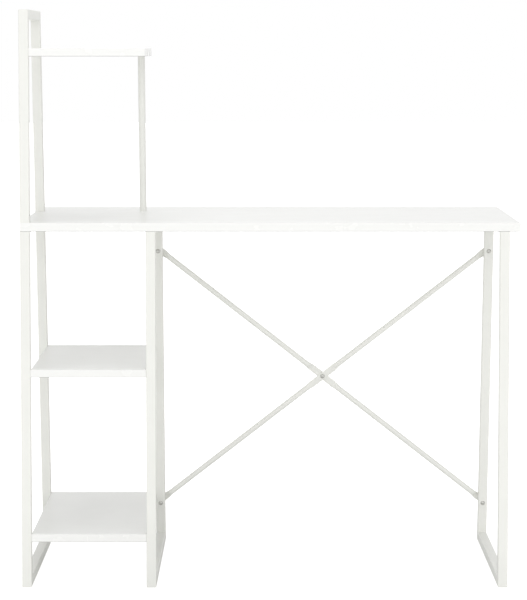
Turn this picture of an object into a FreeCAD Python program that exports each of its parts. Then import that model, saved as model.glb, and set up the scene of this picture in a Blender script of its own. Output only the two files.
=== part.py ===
import FreeCAD, Part
import os
import Sketcher
from FreeCAD import Vector

# A writing desk with a shelving unit: three welded frames of square tube, each closed by a flat
# bar, carry one long desktop. Two shelves tie the left pair of frames together, a smaller frame on
# the desktop holds a third shelf, and two round tubes cross behind the knee space.
# X runs to the right, Y to the back and Z up. The origin is on the floor under the middle.

os.makedirs("parts", exist_ok=True)
doc = FreeCAD.newDocument("WritingDesk")

# Driving dimensions, in millimetres
SIZES = (
    ("desk_width", 1020),
    ("desk_depth", 500),
    ("desk_height", 752),
    ("upper_frame_height", 433),
    ("top_depth", 278),
    ("desktop_thickness", 18),
    ("shelf_thickness", 16),
    ("edge_chamfer", 0.6),
    ("bay_width", 236),
    ("right_overhang", 22),
    ("bottom_shelf_height", 111),
    ("middle_shelf_height", 451),
    ("top_shelf_drop", 79),
    ("tube_size", 20),
    ("tube_wall", 1.2),
    ("tube_corner", 2),
    ("bar_thickness", 3),
    ("upright_diameter", 15),
    ("upright_wall", 1),
    ("upright_inset", 21.5),
    ("upright_plug_length", 22),
    ("brace_head_drop", 68),
    ("brace_foot_height", 90),
    ("brace_diameter", 12),
    ("flat_width", 15.5),
    ("flat_thickness", 3),
    ("end_flat", 16),
    ("centre_flat", 30),
    ("press_length", 12),
    ("tab_radius", 8.5),
    ("bolt_diameter", 6),
    ("bolt_head_diameter", 10),
    ("bolt_head_height", 3),
    ("socket_size", 4),
    ("socket_depth", 2),
    ("bolt_clearance", 0.6),
    ("access_clearance", 1),
    ("thread_gap", 0.2),
    ("bolt_spare", 2),
    ("nut_size", 10),
    ("nut_height", 5),
    ("insert_diameter", 10),
    ("insert_length", 18),
    ("screw_diameter", 4),
    ("screw_head_diameter", 8),
    ("screw_head_height", 2.4),
    ("screw_bite", 12),
    ("screw_inset", 80),
    ("spigot_diameter", 8),
    ("spigot_rise", 26),
    ("post_plug_height", 30),
    ("plug_clearance", 0.1),
    ("lock_screw_diameter", 5),
    ("countersunk_diameter", 5),
    ("countersunk_head_diameter", 10),
    ("countersunk_length", 30),
    ("overrun", 2),
)

sheet = doc.addObject("Spreadsheet::Sheet", "Sizes")
for row, (name, value) in enumerate(SIZES, start=1):
    sheet.set(f"A{row}", name)
    sheet.set(f"B{row}", str(value))
    sheet.setAlias(f"B{row}", name)
doc.recompute()

# Places and angles that follow from the driving dimensions
LAYOUT = (
    ("Float", "overall_height", "Sizes.desk_height + Sizes.upper_frame_height"),
    ("Float", "slope", "(Sizes.desk_depth - Sizes.top_depth) / Layout.overall_height"),
    ("Angle", "lean", "atan(Layout.slope)"),
    ("Float", "front", "-Sizes.desk_depth / 2"),
    ("Float", "frame_height", "Sizes.desk_height - Sizes.desktop_thickness"),
    ("Float", "leg_top", "Layout.frame_height - Sizes.bar_thickness"),
    ("Float", "frame_depth", "Sizes.desk_depth - Layout.slope * Layout.leg_top"),
    ("Float", "left_frame", "(Sizes.tube_size - Sizes.desk_width) / 2"),
    ("Float", "middle_frame", "Layout.left_frame + Sizes.tube_size + Sizes.bay_width"),
    ("Float", "right_frame", "(Sizes.desk_width - Sizes.tube_size) / 2 - Sizes.right_overhang"),
    ("Float", "bay_left", "Layout.left_frame + Sizes.tube_size / 2"),
    ("Float", "bay_right", "Layout.middle_frame - Sizes.tube_size / 2"),
    ("Float", "upright_place", "Layout.bay_right - Sizes.upright_inset"),
    ("Float", "heel", "Sizes.tube_size / tan((90 deg - Layout.lean) / 2)"),
    ("Float", "shoulder", "Sizes.tube_size / tan((90 deg + Layout.lean) / 2)"),
    ("Float", "half_tube_run", "Sizes.tube_size / 2 / cos(Layout.lean)"),
    ("Float", "half_tube_drop", "Sizes.tube_size / 2 * sin(Layout.lean)"),
    ("Float", "bolt_hole", "Sizes.bolt_diameter + Sizes.bolt_clearance"),
    ("Float", "access_hole", "Sizes.bolt_head_diameter + Sizes.access_clearance"),
    ("Float", "nut_bore", "Sizes.bolt_diameter + Sizes.thread_gap"),
    ("Float", "tube_bore", "Sizes.tube_size - 2 * Sizes.tube_wall"),
    ("Float", "top_shelf_height", "Layout.overall_height - Sizes.top_shelf_drop"),
    ("Float", "brace_head_height", "Layout.frame_height - Sizes.brace_head_drop"),
    ("Float", "brace_height", "(Layout.brace_head_height + Sizes.brace_foot_height) / 2"),
    ("Float", "brace_rise", "Layout.brace_head_height - Sizes.brace_foot_height"),
    ("Float", "brace_climb", "Layout.brace_rise / cos(Layout.lean)"),
    ("Float", "brace_run", "Layout.right_frame - Layout.middle_frame"),
    ("Angle", "brace_swing", "atan(Layout.brace_climb / Layout.brace_run)"),
    ("Float", "brace_half", "sqrt(Layout.brace_climb ^ 2 + Layout.brace_run ^ 2) / 2"),
    ("Float", "brace_axis", "(Sizes.tube_size + Sizes.flat_thickness) / 2"),
    ("Float", "front_leg_line", "Layout.front + Sizes.tube_size / 2"),
    ("Float", "plug_middle", "Sizes.desk_height + Sizes.post_plug_height / 2"),
)

layout = doc.addObject("App::VarSet", "Layout")
for kind, name, expression in LAYOUT:
    layout.addProperty(f"App::Property{kind}", name, "Derived")
    layout.setExpression(name, expression)
doc.recompute()

FRONT = "Layout.front"
UPRIGHT = "rotationx(0)"
FORWARD_OF_LEG = "rotationx(Layout.lean - 90 deg)"
TUBE_MIDDLE = "Sizes.tube_size / 2"
nodes = []


def number(expression):
    """Give the present value of an expression."""
    result = sheet.evalExpression(expression)
    return float(getattr(result, "Value", result))


def back_line(height):
    """Give the Y of the rear legs' back faces at a height."""
    return f"(Sizes.desk_depth / 2 - Layout.slope * ({height}))"


def leg_line(height):
    """Give the Y of the rear legs' middle line at a height."""
    return f"({back_line(height)} - Layout.half_tube_run)"


def down_leg(height, top):
    """Give the distance down a rear leg, from its top corner, of a height on its middle line."""
    return f"(({top} - ({height}) - Layout.half_tube_drop) / cos(Layout.lean))"


# Sketches and features


def new_body(name, x="0", y="0", z="0", turn=UPRIGHT):
    body = doc.addObject("PartDesign::Body", name)
    body.setExpression("Placement", f"placement(vector({x}; {y}; {z}); {turn})")
    return body


def keep(item, name):
    """Name a finished piece and list it as one of the object's nodes."""
    item.Label = name
    nodes.append(item)
    return item


def new_sketch(body, role, offset="0", turn=UPRIGHT):
    sketch = body.newObject("Sketcher::SketchObject", "Sketch")
    plane = [item for item in body.Origin.OriginFeatures if item.Role == role][0]
    sketch.AttachmentSupport = [(plane, "")]
    sketch.MapMode = "FlatFace"
    sketch.setExpression("AttachmentOffset", f"placement(vector(0; 0; {offset}); {turn})")
    return sketch


def measure(sketch, constraint, expression):
    """Add a constraint whose size follows an expression."""
    index = sketch.addConstraint(Sketcher.Constraint(*constraint, number(expression)))
    sketch.setExpression(f"Constraints[{index}]", expression)


def hold(sketch, item, point, x=None, y=None):
    """Hold a point of the sketch at distances from the sketch's origin."""
    for kind, axis, expression in (("DistanceX", -2, x), ("DistanceY", -1, y)):
        if expression == "0":
            sketch.addConstraint(Sketcher.Constraint("PointOnObject", item, point, axis))
        elif expression:
            measure(sketch, (kind, -1, 1, item, point), expression)


def polygon(sketch, corners):
    places = [Vector(number(x), number(y), 0) for x, y in corners]
    first = sketch.GeometryCount
    for start, end in zip(places, places[1:] + places[:1]):
        sketch.addGeometry(Part.LineSegment(start, end), False)
    for side, (x, y) in enumerate(corners):
        following = first + (side + 1) % len(corners)
        sketch.addConstraint(Sketcher.Constraint("Coincident", first + side, 2, following, 1))
        hold(sketch, first + side, 1, x, y)


def circle(sketch, x, y, diameter):
    centre = Vector(number(x), number(y), 0)
    item = sketch.addGeometry(Part.Circle(centre, Vector(0, 0, 1), number(diameter) / 2), False)
    measure(sketch, ("Diameter", item), diameter)
    hold(sketch, item, 3, x, y)


def rounded_square(sketch, side, radius):
    """Draw the outside of a square tube, centred in X, with one face on the X axis."""
    half = number(side) / 2
    bend = number(radius)
    centre = Vector(0, half, 0)
    reach = half - bend
    for turn in range(4):
        rotation = FreeCAD.Rotation(Vector(0, 0, 1), 90 * turn)
        start = centre + rotation.multVec(Vector(-reach, -half, 0))
        end = centre + rotation.multVec(Vector(reach, -half, 0))
        sketch.addGeometry(Part.LineSegment(start, end), False)
    for turn in range(4):
        rotation = FreeCAD.Rotation(Vector(0, 0, 1), 90 * turn)
        middle = centre + rotation.multVec(Vector(reach, -reach, 0))
        ring = Part.Circle(middle, Vector(0, 0, 1), bend)
        begin = FreeCAD.Units.Quantity(f"{90 * turn - 90} deg").getValueAs("rad").Value
        finish = FreeCAD.Units.Quantity(f"{90 * turn} deg").getValueAs("rad").Value
        sketch.addGeometry(Part.ArcOfCircle(ring, begin, finish), False)
    for turn in range(4):
        sketch.addConstraint(Sketcher.Constraint("Tangent", turn, 2, turn + 4, 1))
        sketch.addConstraint(Sketcher.Constraint("Tangent", turn + 4, 2, (turn + 1) % 4, 1))
        sketch.addConstraint(Sketcher.Constraint(("Horizontal", "Vertical")[turn % 2], turn))
    for turn in range(1, 4):
        sketch.addConstraint(Sketcher.Constraint("Equal", 4, turn + 4))
    measure(sketch, ("Radius", 4), radius)
    hold(sketch, 0, 1, y="0")
    hold(sketch, 1, 1, x=f"{side} / 2")
    hold(sketch, 2, 1, y=side)
    hold(sketch, 3, 1, x=f"-{side} / 2")


def pad(body, sketch, length, middle=False):
    feature = body.newObject("PartDesign::Pad", "Pad")
    feature.Profile = sketch
    feature.setExpression("Length", length)
    if middle:
        feature.SideType = "Symmetric"
    return feature


def pocket(body, sketch, depth=None, forward=False, both=False):
    """Cut a sketch out of a body, forward along the sketch's normal, backward, or both ways."""
    feature = body.newObject("PartDesign::Pocket", "Pocket")
    feature.Profile = sketch
    feature.Reversed = forward
    if depth:
        feature.setExpression("Length", depth)
    else:
        feature.Type = "ThroughAll"
    if both:
        feature.SideType = "Symmetric"
    return feature


def bore(body, role, centres, diameter, **how):
    """Cut round holes at a list of centres on one of the body's planes."""
    offset = how.pop("offset", "0")
    sketch = new_sketch(body, role, offset)
    for x, y in centres:
        circle(sketch, x, y, diameter)
    return pocket(body, sketch, **how)


def trim(body, corners):
    """Cut a polygon, drawn seen from the side, right through a body."""
    sketch = new_sketch(body, "YZ_Plane")
    polygon(sketch, corners)
    return pocket(body, sketch, both=True)


# Square tubes


def tube(name, place, turn, length, near=None, far=None, spare="0"):
    """Make a square tube whose outer face is longer than its inner face by the two setbacks."""
    body = new_body(name, *place, turn)
    section = new_sketch(body, "XY_Plane", f"-{spare}")
    rounded_square(section, "Sizes.tube_size", "Sizes.tube_corner")
    half_bore = "Layout.tube_bore / 2"
    far_wall = "(Sizes.tube_size - Sizes.tube_wall)"
    bore_corners = (
        (f"-{half_bore}", "Sizes.tube_wall"),
        (half_bore, "Sizes.tube_wall"),
        (half_bore, far_wall),
        (f"-{half_bore}", far_wall),
    )
    polygon(section, bore_corners)
    pad(body, section, f"{length} + {spare}")
    outside = "-Sizes.overrun"
    inside = "(Sizes.tube_size + Sizes.overrun)"
    for setback, end, sign in ((near, "0", "1"), (far, length, "-1")):
        if setback:
            gain = f"{sign} * {setback} / Sizes.tube_size"
            low = f"{end} + {outside} * {gain}"
            high = f"{end} + {inside} * {gain}"
            trim(body, ((outside, low), (inside, high), (inside, low)))
    return keep(body, name)


def rear_leg_tube(name, x):
    """Make a leaning leg that is cut level under its bar and mitred at its foot."""
    turn = "rotationx(180 deg + Layout.lean)"
    length = f"{LEG_TOP} / cos(Layout.lean)"
    place = (x, back_line(LEG_TOP), LEG_TOP)
    leg = tube(name, place, turn, length, far="Layout.heel", spare="Sizes.tube_size")
    outside = "-Sizes.overrun"
    inside = "(Sizes.tube_size + Sizes.overrun)"
    clear = f"-{inside}"
    level = [(side, f"-({side}) * Layout.slope") for side in (outside, inside)]
    trim(leg, (*level, (inside, clear), (outside, clear)))
    return leg


def flat_bar(name, x):
    """Make the flat bar that joins the tops of two legs and carries the desktop."""
    body = new_body(name, x, FRONT, LEG_TOP)
    outline = new_sketch(body, "XY_Plane")
    half = "Sizes.tube_size / 2"
    depth = "Layout.frame_depth"
    polygon(outline, ((f"-{half}", "0"), (half, "0"), (half, depth), (f"-{half}", depth)))
    pad(body, outline, "Sizes.bar_thickness")
    return keep(body, name)


def drill_bar(body, places, diameter):
    """Cut holes down through a flat bar."""
    centres = [("0", place) for place in places]
    bore(body, "XY_Plane", centres, diameter, depth="Sizes.bar_thickness", forward=True)


def drill_across(body, places, access):
    """Cut bolt holes in one side wall of a tube and wider holes for the heads in the other."""
    centres = [(TUBE_MIDDLE, place) for place in places]
    to_right = access == "left"
    bore(body, "YZ_Plane", centres, "Layout.bolt_hole", forward=to_right)
    bore(body, "YZ_Plane", centres, "Layout.access_hole", forward=not to_right)


def drill_through(body, places, diameter):
    """Cut holes through the outer and inner walls of a tube."""
    bore(body, "XZ_Plane", [("0", place) for place in places], diameter, both=True)


FRAMES = {"left": "Layout.left_frame", "middle": "Layout.middle_frame", "right": "Layout.right_frame"}
FRAME_TOP = "Layout.frame_height"
LEG_TOP = "Layout.leg_top"
SCREW_PLACES = ("Sizes.screw_inset", "(Layout.frame_depth - Sizes.screw_inset)")
SHELF_MIDDLES = {
    "bottom": "(Sizes.bottom_shelf_height - Sizes.shelf_thickness / 2)",
    "middle": "(Sizes.middle_shelf_height - Sizes.shelf_thickness / 2)",
    "top": "(Layout.top_shelf_height - Sizes.shelf_thickness / 2)",
}
LOW_SHELVES = (SHELF_MIDDLES["bottom"], SHELF_MIDDLES["middle"])
BRACE_BOLTS = ("Layout.brace_head_height", "Sizes.brace_foot_height")
SCREW_HOLE = "Sizes.screw_diameter + Sizes.bolt_clearance"
spigot_rear = leg_line("Layout.plug_middle")

loops = {}
for side, x in FRAMES.items():
    front_leg = tube(f"{side}_front_leg", (x, FRONT, "0"), UPRIGHT, LEG_TOP, near="Sizes.tube_size")
    top_rail = flat_bar(f"{side}_top_rail", x)
    rear_leg = rear_leg_tube(f"{side}_rear_leg", x)
    base_rail = tube(
        f"{side}_base_rail",
        (x, "Sizes.desk_depth / 2", "0"),
        "rotationx(90 deg)",
        "Sizes.desk_depth",
        "Layout.heel",
        "Sizes.tube_size",
    )
    drill_bar(top_rail, SCREW_PLACES, SCREW_HOLE)
    loops[side] = {"front_leg": front_leg, "top_rail": top_rail, "rear_leg": rear_leg}

for side, access in (("left", "left"), ("middle", "right")):
    drill_across(loops[side]["front_leg"], LOW_SHELVES, access)
    rear_places = [down_leg(height, LEG_TOP) for height in LOW_SHELVES]
    drill_across(loops[side]["rear_leg"], rear_places, access)

for side in ("middle", "right"):
    bolt_places = [down_leg(height, LEG_TOP) for height in BRACE_BOLTS]
    drill_through(loops[side]["rear_leg"], bolt_places, "Layout.bolt_hole")

spigot_places = [f"({y} - {FRONT})" for y in ("Layout.front_leg_line", spigot_rear)]
drill_bar(loops["left"]["top_rail"], spigot_places, "Sizes.spigot_diameter")

upper_height = "Sizes.upper_frame_height"
upper_front_post = tube(
    "upper_front_post",
    ("Layout.left_frame", FRONT, "Sizes.desk_height"),
    UPRIGHT,
    upper_height,
    far="Sizes.tube_size",
)
upper_top_rail = tube(
    "upper_top_rail",
    ("Layout.left_frame", FRONT, "Layout.overall_height"),
    "rotationx(270 deg)",
    "Sizes.top_depth",
    "Sizes.tube_size",
    "Layout.shoulder",
)
upper_rear_post = tube(
    "upper_rear_post",
    ("Layout.left_frame", back_line("Layout.overall_height"), "Layout.overall_height"),
    "rotationx(180 deg + Layout.lean)",
    f"{upper_height} / cos(Layout.lean)",
    "Layout.shoulder",
    "Layout.slope * Sizes.tube_size",
)
drill_across(upper_front_post, [f"({SHELF_MIDDLES['top']} - Sizes.desk_height)"], "left")
drill_across(upper_rear_post, [down_leg(SHELF_MIDDLES["top"], "Layout.overall_height")], "left")
lock_hole = "Sizes.lock_screw_diameter + Sizes.thread_gap"
post_locks = (
    (upper_front_post, "Sizes.post_plug_height / 2"),
    (upper_rear_post, down_leg("Layout.plug_middle", "Layout.overall_height")),
)
for post, place in post_locks:
    bore(post, "YZ_Plane", [(TUBE_MIDDLE, place)], lock_hole, forward=True)


# Boards


def board(name, left, right, depth, top, thickness):
    """Make a rectangular board with softened edges."""
    body = new_body(name, z=f"{top} - {thickness}")
    outline = new_sketch(body, "XY_Plane")
    back = f"({FRONT} + {depth})"
    polygon(outline, ((left, FRONT), (right, FRONT), (right, back), (left, back)))
    plain = pad(body, outline, thickness)
    doc.recompute()
    softened = body.newObject("PartDesign::Chamfer", "SoftEdges")
    softened.Base = (plain, [""])
    softened.UseAllEdges = True
    softened.setExpression("Size", "Sizes.edge_chamfer")
    return keep(body, name)


def countersink(body, x, y, surface, thickness, forward):
    """Cut a bolt hole through a board with a cone at one surface for a countersunk head."""
    hole = "Sizes.countersunk_diameter + Sizes.bolt_clearance"
    bore(body, "XY_Plane", [(x, y)], hole, depth=thickness, forward=True)
    depth = "(Sizes.countersunk_head_diameter - Sizes.countersunk_diameter) / 2"
    centres = [(x, y)]
    cone = bore(
        body,
        "XY_Plane",
        centres,
        "Sizes.countersunk_head_diameter",
        offset=surface,
        depth=depth,
        forward=forward,
    )
    cone.TaperAngle = -45


desktop = board(
    "desktop",
    "-Sizes.desk_width / 2",
    "Sizes.desk_width / 2",
    "Sizes.desk_depth",
    "Sizes.desk_height",
    "Sizes.desktop_thickness",
)
desktop_screws = [(x, f"({FRONT} + {place})") for x in FRAMES.values() for place in SCREW_PLACES]
screw_depth = "Sizes.screw_bite + Sizes.bolt_clearance"
bore(desktop, "XY_Plane", desktop_screws, SCREW_HOLE, depth=screw_depth, forward=True)
spigots = [("Layout.left_frame", "Layout.front_leg_line"), ("Layout.left_frame", spigot_rear)]
spigot_hole = "Sizes.spigot_diameter + Sizes.bolt_clearance"
bore(desktop, "XY_Plane", spigots, spigot_hole, depth="Sizes.desktop_thickness", forward=True)
foot_middle = leg_line("Sizes.desk_height + Sizes.upright_plug_length / 2")
countersink(desktop, "Layout.upright_place", foot_middle, "0", "Sizes.desktop_thickness", True)


def shelf(name, top, ends):
    """Make a shelf as deep as the leaning legs at its height, drilled at its ends for inserts."""
    depth = f"({back_line(top)} - {FRONT})"
    body = board(name, "Layout.bay_left", "Layout.bay_right", depth, top, "Sizes.shelf_thickness")
    half = "Sizes.shelf_thickness / 2"
    centres = [(y, half) for y in ("Layout.front_leg_line", leg_line(f"({top} - {half})"))]
    hole = "Sizes.insert_diameter + Sizes.thread_gap"
    reach = "Sizes.insert_length + Sizes.bolt_spare"
    for end, forward in ends:
        bore(body, "YZ_Plane", centres, hole, offset=end, depth=reach, forward=forward)
    return body


LEFT_END = ("Layout.bay_left", True)
RIGHT_END = ("Layout.bay_right", False)
shelf("bottom_shelf", "Sizes.bottom_shelf_height", (LEFT_END, RIGHT_END))
shelf("middle_shelf", "Sizes.middle_shelf_height", (LEFT_END, RIGHT_END))
top_shelf = shelf("top_shelf", "Layout.top_shelf_height", (LEFT_END,))
shelf_under = "(Layout.top_shelf_height - Sizes.shelf_thickness)"
head_middle = leg_line(f"({shelf_under} - Sizes.upright_plug_length / 2)")
shelf_thick = "Sizes.shelf_thickness"
countersink(top_shelf, "Layout.upright_place", head_middle, shelf_thick, shelf_thick, False)


# The thin round upright, which leans with the rear legs


def leaning_round(name, diameter, low, high):
    """Make a round bar on the rear legs' middle line, cut level at two heights."""
    height = f"({high} - {low})"
    middle = f"(({high} + {low}) / 2)"
    turn = "rotationx(Layout.lean)"
    body = new_body(name, "Layout.upright_place", leg_line(middle), middle, turn)
    section = new_sketch(body, "XY_Plane")
    circle(section, "0", "0", diameter)
    length = f"{height} / cos(Layout.lean) + 2 * {diameter}"
    pad(body, section, length, middle=True)
    side = f"({diameter} / 2 + Sizes.overrun)"
    for sign in ("", "-"):
        level = f"{height} / 2 / cos(Layout.lean)"
        front_end = f"{sign}({level}) + {side} * Layout.slope"
        back_end = f"{sign}({level}) - {side} * Layout.slope"
        clear = f"{sign}({length})"
        trim(body, ((f"-{side}", front_end), (side, back_end), (side, clear), (f"-{side}", clear)))
    return body


shelf_upright = leaning_round(
    "shelf_upright", "Sizes.upright_diameter", "Sizes.desk_height", shelf_under
)
upright_bore = "(Sizes.upright_diameter - 2 * Sizes.upright_wall)"
bore(shelf_upright, "XY_Plane", [("0", "0")], upright_bore, both=True)
keep(shelf_upright, "shelf_upright")

plug_diameter = f"({upright_bore} - 2 * Sizes.plug_clearance)"
plug_spans = (
    ("Sizes.desk_height", "(Sizes.desk_height + Sizes.upright_plug_length)"),
    (f"({shelf_under} - Sizes.upright_plug_length)", shelf_under),
)
upright_plugs = []
for low, high in plug_spans:
    plug = leaning_round("upright_plug", plug_diameter, low, high)
    thread = new_sketch(plug, "XY_Plane", turn="rotationx(-Layout.lean)")
    circle(thread, "0", "0", "Sizes.countersunk_diameter + Sizes.thread_gap")
    pocket(plug, thread, both=True)
    upright_plugs.append(plug)
plug_pair = doc.addObject("Part::Compound", "upright_end_plugs")
plug_pair.Links = upright_plugs
keep(plug_pair, "upright_end_plugs")


# Crossed brace tubes, pressed flat where bolts pass through them


def pressed_section(body, place, rise):
    """Draw the flattened tube: two straight sides joined by half rounds."""
    sketch = new_sketch(body, "YZ_Plane", place)
    radius = "Sizes.flat_thickness / 2"
    straight = "(Sizes.flat_width - Sizes.flat_thickness) / 2"
    half = number(straight)
    level = number(rise)
    bend = number(radius)
    for sign in (-1, 1):
        start = Vector(sign * half, level + sign * bend, 0)
        end = Vector(-sign * half, level + sign * bend, 0)
        sketch.addGeometry(Part.LineSegment(start, end), False)
        ring = Part.Circle(Vector(-sign * half, level, 0), Vector(0, 0, 1), bend)
        middle = ring.value(0 if sign < 0 else ring.LastParameter / 2)
        sketch.addGeometry(Part.Arc(end, middle, end - Vector(0, 2 * sign * bend, 0)), False)
    for side in range(4):
        sketch.addConstraint(Sketcher.Constraint("Tangent", side, 2, (side + 1) % 4, 1))
    sketch.addConstraint(Sketcher.Constraint("Horizontal", 0))
    sketch.addConstraint(Sketcher.Constraint("Equal", 1, 3))
    measure(sketch, ("Radius", 1), radius)
    hold(sketch, 1, 3, x=straight, y=rise)
    hold(sketch, 3, 3, x=f"-{straight}")
    return sketch


def round_section(body, place):
    """Draw the round tube as four quarters, which meet the four edges of the pressed section."""
    sketch = new_sketch(body, "YZ_Plane", place)
    radius = "Sizes.brace_diameter / 2"
    corner = f"{radius} * cos(45 deg)"
    ring = Part.Circle(Vector(0, 0, 0), Vector(0, 0, 1), number(radius))
    turn = ring.LastParameter / 8
    for quarter in range(4):
        start = turn * (5 + 2 * quarter)
        sketch.addGeometry(Part.ArcOfCircle(ring, start, start + 2 * turn), False)
        sketch.addConstraint(Sketcher.Constraint("Coincident", quarter, 3, -1, 1))
    for quarter in range(3):
        sketch.addConstraint(Sketcher.Constraint("Coincident", quarter, 2, quarter + 1, 1))
    measure(sketch, ("Radius", 0), radius)
    for quarter, sign in enumerate(("-", "", "", "-")):
        hold(sketch, quarter, 1, x=f"{sign}({corner})")
    sketch.addConstraint(Sketcher.Constraint("Vertical", 3, 2, 0, 1))
    return sketch


def round_tab(body, sign):
    """Cut one pressed end to a round about its bolt hole."""
    sketch = new_sketch(body, "XY_Plane")
    bolt = f"{sign} * Layout.brace_half"
    radius = "Sizes.tab_radius"
    side = f"({radius} + Sizes.overrun)"
    clear = f"{sign} * (Layout.brace_half + {side})"
    corners = (
        (bolt, radius),
        (bolt, side),
        (clear, side),
        (clear, f"-{side}"),
        (bolt, f"-{side}"),
        (bolt, f"-{radius}"),
    )
    places = [Vector(number(x), number(y), 0) for x, y in corners]
    for start, end in zip(places, places[1:]):
        sketch.addGeometry(Part.LineSegment(start, end), False)
    tip = Vector(number(f"{sign} * (Layout.brace_half + {radius})"), 0, 0)
    sketch.addGeometry(Part.Arc(places[-1], tip, places[0]), False)
    arc = len(corners) - 1
    ends = (1, 2) if number(sign) > 0 else (2, 1)
    for side_index in range(arc - 1):
        sketch.addConstraint(Sketcher.Constraint("Coincident", side_index, 2, side_index + 1, 1))
    sketch.addConstraint(Sketcher.Constraint("Coincident", arc - 1, 2, arc, ends[0]))
    sketch.addConstraint(Sketcher.Constraint("Coincident", arc, ends[1], 0, 1))
    for index, (x, y) in enumerate(corners[:-1]):
        hold(sketch, index, 1, x, y)
    hold(sketch, arc - 1, 2, *corners[-1])
    hold(sketch, arc, 3, x=bolt)
    pocket(body, sketch, both=True)


def brace_tube(name, swing, rise):
    """Make one brace tube, with its crossing pressed to one side of its axis."""
    middle = "(Layout.middle_frame + Layout.right_frame) / 2"
    y = f"{leg_line('Layout.brace_height')} + Layout.brace_axis * cos(Layout.lean)"
    z = "Layout.brace_height + Layout.brace_axis * sin(Layout.lean)"
    turn = f"rotationx(90 deg + Layout.lean) * rotationz({swing})"
    body = new_body(name, middle, y, z, turn)
    tip = "(Layout.brace_half + Sizes.tab_radius + Sizes.overrun)"
    end_press = "(Layout.brace_half - Sizes.end_flat)"
    end_round = "(Layout.brace_half - Sizes.end_flat - Sizes.press_length)"
    centre_round = "(Sizes.centre_flat + Sizes.press_length)"
    half_length = (
        (tip, "0"),
        (end_press, "0"),
        (end_round, None),
        (centre_round, None),
        ("Sizes.centre_flat", rise),
    )
    stations = [(f"-{place}", offset) for place, offset in half_length]
    stations += [(place, offset) for place, offset in reversed(half_length)]
    sections = []
    for place, offset in stations:
        if offset is None:
            sections.append(round_section(body, place))
        else:
            sections.append(pressed_section(body, place, offset))
    loft = body.newObject("PartDesign::AdditiveLoft", "PressedTube")
    loft.Profile = sections[0]
    loft.Sections = sections[1:]
    loft.Ruled = True
    for sign in ("-1", "1"):
        round_tab(body, sign)
    bolts = (("-Layout.brace_half", "0"), ("0", "0"), ("Layout.brace_half", "0"))
    bore(body, "XY_Plane", bolts, "Layout.bolt_hole", both=True)
    return keep(body, name)


brace_tube("front_brace_tube", "Layout.brace_swing", "Sizes.flat_thickness / 2")
brace_tube("rear_brace_tube", "-Layout.brace_swing", "-Sizes.flat_thickness / 2")


# Fasteners, each drawn once with its head below the origin and its shank along Z


def dome_bolt(name, diameter, head_diameter, head_height, length):
    """Make a round-headed bolt or screw by turning half of its outline."""
    body = new_body(name)
    sketch = new_sketch(body, "XZ_Plane")
    corners = (
        (f"{head_diameter} / 2", "0"),
        (f"{diameter} / 2", "0"),
        (f"{diameter} / 2", length),
        ("0", length),
        ("0", f"-{head_height}"),
    )
    places = [Vector(number(x), number(y), 0) for x, y in corners]
    for start, end in zip(places, places[1:]):
        sketch.addGeometry(Part.LineSegment(start, end), False)
    radius = number(head_diameter) / 2
    height = number(head_height)
    curve = (radius**2 + height**2) / (2 * height)
    lean = Vector(radius / 2, curve - height - (curve**2 - radius**2 / 4) ** 0.5, 0)
    sketch.addGeometry(Part.Arc(places[-1], lean, places[0]), False)
    arc = len(corners) - 1
    for side in range(arc):
        sketch.addConstraint(Sketcher.Constraint("Coincident", side, 2, side + 1, 1))
    sketch.addConstraint(Sketcher.Constraint("Coincident", arc, 2, 0, 1))
    for index, (x, y) in enumerate(corners):
        hold(sketch, index, 1, x, y)
    hold(sketch, arc, 3, x="0")
    turned = body.newObject("PartDesign::Revolution", "Turned")
    turned.Profile = sketch
    turned.ReferenceAxis = (sketch, ["V_Axis"])
    return body


def cut_socket(body, head_height):
    """Sink a hexagon socket into the top of a bolt's head."""
    sketch = new_sketch(body, "XY_Plane", f"-{head_height}")
    hexagon(sketch, "Sizes.socket_size")
    pocket(body, sketch, "Sizes.socket_depth", forward=True)


def hexagon(sketch, across):
    reach = f"{across} / 2 / cos(30 deg)"
    corners = [(f"{reach} * cos({turn} deg)", f"{reach} * sin({turn} deg)") for turn in range(30, 390, 60)]
    polygon(sketch, corners)


def group(name, master, places):
    """Make one node of several copies of a fastener."""
    copies = []
    for x, y, z, turn in places:
        copy = doc.addObject("App::Link", f"{name}_copy")
        copy.LinkedObject = master
        copy.setExpression("Placement", f"placement(vector({x}; {y}; {z}); {turn})")
        copies.append(copy)
    together = doc.addObject("Part::Compound", name)
    together.Links = copies
    return keep(together, name)


def turned_body(name, outline):
    """Make a body by turning an outline about the Z axis."""
    body = new_body(name)
    sketch = new_sketch(body, "XZ_Plane")
    polygon(sketch, outline)
    turned = body.newObject("PartDesign::Revolution", "Turned")
    turned.Profile = sketch
    turned.ReferenceAxis = (sketch, ["V_Axis"])
    return body


def flat_bolt(name, diameter, head_diameter, head_height, length):
    """Make a flat-headed bolt or screw."""
    outline = (
        ("0", f"-{head_height}"),
        (f"{head_diameter} / 2", f"-{head_height}"),
        (f"{head_diameter} / 2", "0"),
        (f"{diameter} / 2", "0"),
        (f"{diameter} / 2", length),
        ("0", length),
    )
    return turned_body(name, outline)


def frame_bolt(name, length, shape=flat_bolt):
    bolt = shape(
        name, "Sizes.bolt_diameter", "Sizes.bolt_head_diameter", "Sizes.bolt_head_height", length
    )
    cut_socket(bolt, "Sizes.bolt_head_height")
    return bolt


def through_leg(x, height, distance):
    """Place a fastener on the line of a brace bolt, at a distance behind the leg's middle line."""
    y = f"{leg_line(height)} + ({distance}) * cos(Layout.lean)"
    z = f"{height} + ({distance}) * sin(Layout.lean)"
    return (x, y, z, FORWARD_OF_LEG)


TO_RIGHT = "rotationy(90)"
TO_LEFT = "rotationy(-90)"

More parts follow.
